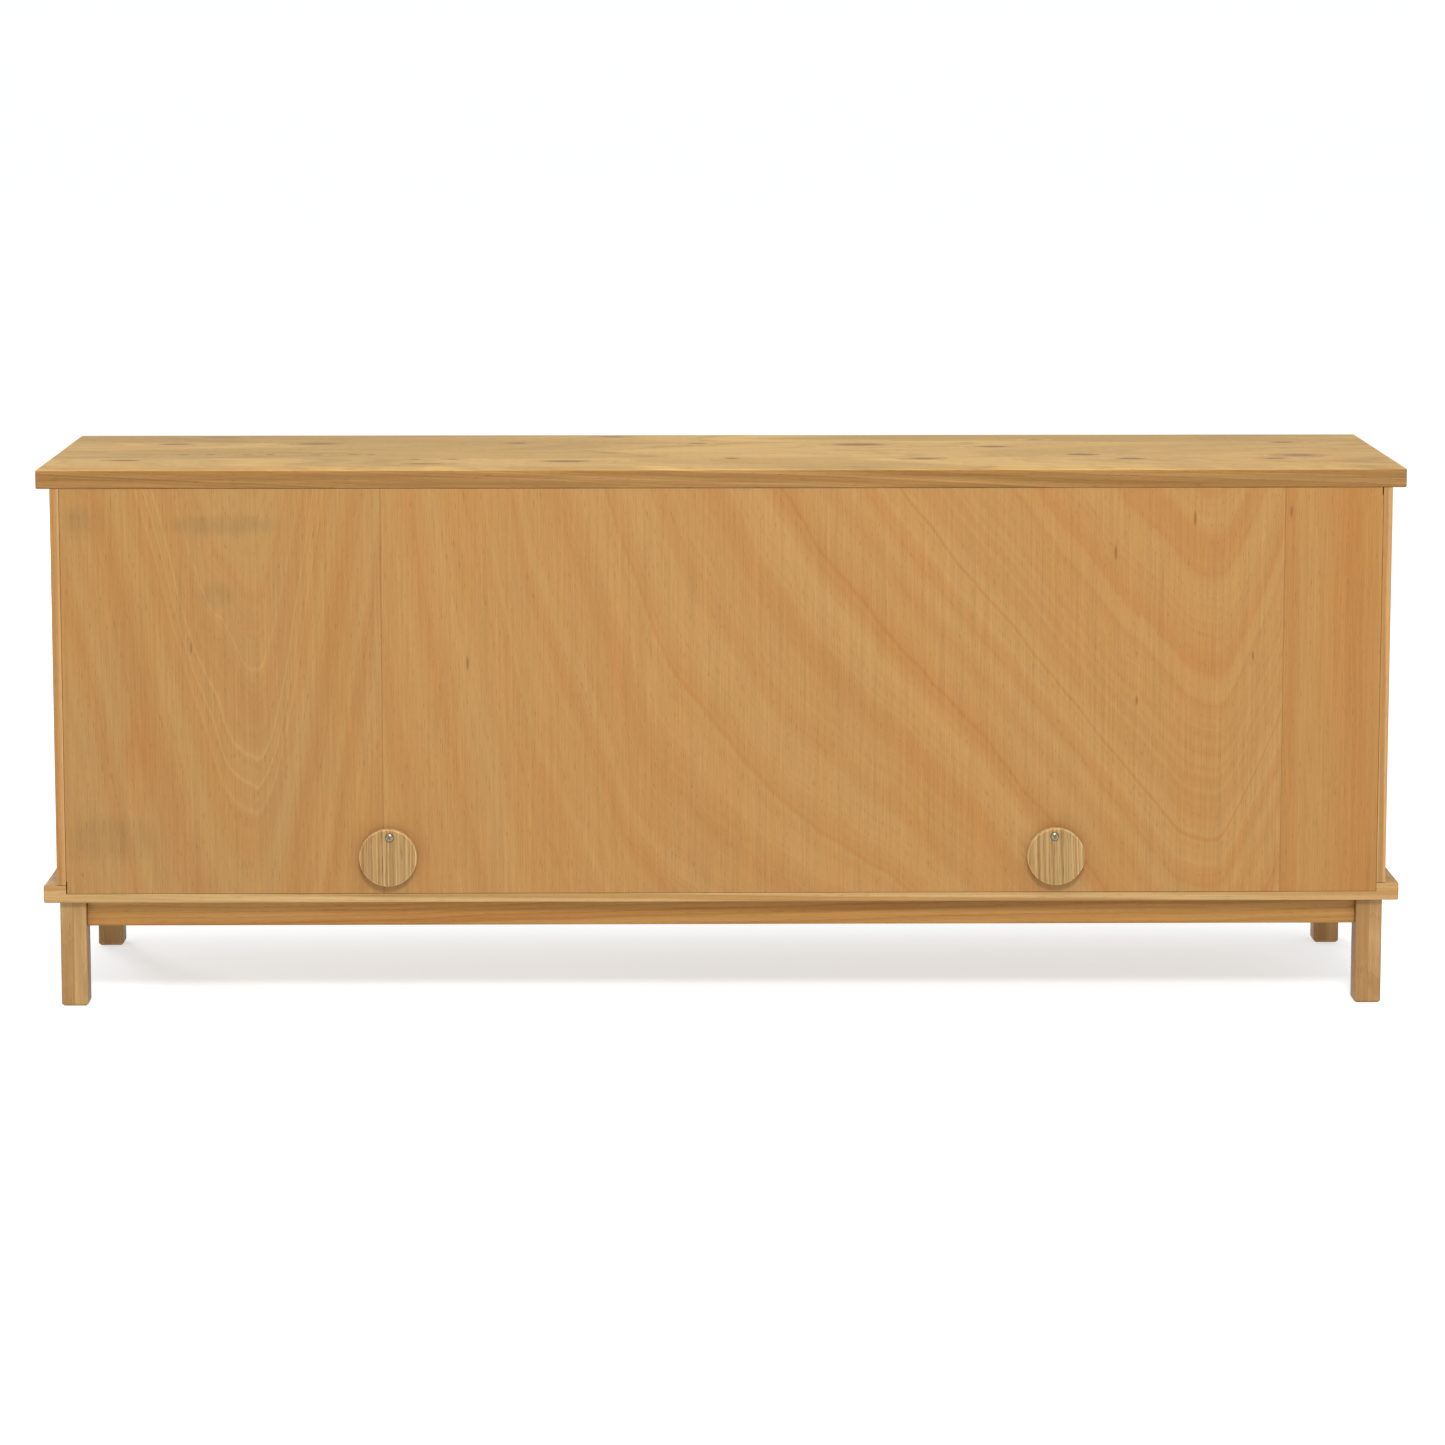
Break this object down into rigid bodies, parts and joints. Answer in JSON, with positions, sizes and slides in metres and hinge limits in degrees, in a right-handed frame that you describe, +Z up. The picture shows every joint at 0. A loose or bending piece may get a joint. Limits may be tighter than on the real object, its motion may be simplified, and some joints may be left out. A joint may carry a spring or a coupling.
{
  "type": "media cabinet",
  "caption": "Low oak media cabinet on square legs, with framed doors, adjustable shelves and round swivelling covers over the cable holes in its back.",
  "frame": {"origin": "on the floor under the middle of the box that holds the whole cabinet, knobs and cable covers included", "axes": "+X along the width, to the right of someone facing the doors; +Y to the back, where the cable holes are; +Z up"},
  "size_m": [1.8, 0.4519, 0.72],
  "materials": {
    "oak_board": "satin oiled",
    "oak_upright": "satin oiled",
    "oak_veneer": "matt, thinly finished veneer",
    "oak_base": "satin oiled",
    "oak_door": "satin oiled",
    "oak_turned": "satin oiled, turned",
    "brass": "satin",
    "steel": "zinc plated",
    "catch": "matt brown"
  },
  "bodies": {
    "carcass": {"top_board": "oak_board", "bottom_board": "oak_board", "left_side": "oak_upright", "right_side": "oak_upright", "partition": "oak_upright", "back_panel": "oak_veneer", "left_shelf": "oak_board", "left_shelf_pin_1": "steel", "left_shelf_pin_2": "steel", "left_shelf_pin_3": "steel", "left_shelf_pin_4": "steel", "right_shelf": "oak_board", "right_shelf_pin_1": "steel", "right_shelf_pin_2": "steel", "right_shelf_pin_3": "steel", "right_shelf_pin_4": "steel", "front_left_leg": "oak_base", "front_right_leg": "oak_base", "rear_left_leg": "oak_base", "rear_right_leg": "oak_base", "front_rail": "oak_base", "rear_rail": "oak_base", "left_rail": "oak_base", "right_rail": "oak_base", "centre_rail": "oak_base", "left_outer_door_upper_fixed_leaf": "brass", "left_outer_door_lower_fixed_leaf": "brass", "left_inner_door_upper_fixed_leaf": "brass", "left_inner_door_lower_fixed_leaf": "brass", "right_outer_door_upper_fixed_leaf": "brass", "right_outer_door_lower_fixed_leaf": "brass", "right_inner_door_upper_fixed_leaf": "brass", "right_inner_door_lower_fixed_leaf": "brass", "left_catch": "catch", "right_catch": "catch", "left_cover_screw": "steel", "right_cover_screw": "steel"},
    "left_outer_door": {"left_outer_door_frame": "oak_door", "left_outer_door_panel": "oak_door", "left_outer_door_knob": "oak_turned", "left_outer_door_upper_door_leaf": "brass", "left_outer_door_lower_door_leaf": "brass"},
    "left_inner_door": {"left_inner_door_frame": "oak_door", "left_inner_door_panel": "oak_door", "left_inner_door_knob": "oak_turned", "left_inner_door_upper_door_leaf": "brass", "left_inner_door_lower_door_leaf": "brass"},
    "right_outer_door": {"right_outer_door_frame": "oak_door", "right_outer_door_panel": "oak_door", "right_outer_door_knob": "oak_turned", "right_outer_door_upper_door_leaf": "brass", "right_outer_door_lower_door_leaf": "brass"},
    "right_inner_door": {"right_inner_door_frame": "oak_door", "right_inner_door_panel": "oak_door", "right_inner_door_knob": "oak_turned", "right_inner_door_upper_door_leaf": "brass", "right_inner_door_lower_door_leaf": "brass"},
    "left_cover": {"left_cable_cover": "oak_turned"},
    "right_cover": {"right_cable_cover": "oak_turned"}
  },
  "joints": [
    {"name": "left_outer_door_hinge", "type": "hinge", "parent": "carcass", "child": "left_outer_door", "pos_m": [-0.8605, -0.206, 0.4305], "axis": [0, 0, -1], "range_deg": [0, 110]},
    {"name": "left_inner_door_hinge", "type": "hinge", "parent": "carcass", "child": "left_inner_door", "pos_m": [-0.0115, -0.206, 0.4305], "axis": [0, 0, 1], "range_deg": [0, 85]},
    {"name": "right_outer_door_hinge", "type": "hinge", "parent": "carcass", "child": "right_outer_door", "pos_m": [0.8605, -0.206, 0.4305], "axis": [0, 0, 1], "range_deg": [0, 110]},
    {"name": "right_inner_door_hinge", "type": "hinge", "parent": "carcass", "child": "right_inner_door", "pos_m": [0.0115, -0.206, 0.4305], "axis": [0, 0, -1], "range_deg": [0, 85]},
    {"name": "left_cover_swivel", "type": "hinge", "parent": "carcass", "child": "left_cover", "pos_m": [-0.44, 0.2105, 0.232], "axis": [0, 1, 0], "range_deg": [-170, 170]},
    {"name": "right_cover_swivel", "type": "hinge", "parent": "carcass", "child": "right_cover", "pos_m": [0.44, 0.2105, 0.232], "axis": [0, 1, 0], "range_deg": [-170, 170]}
  ]
}
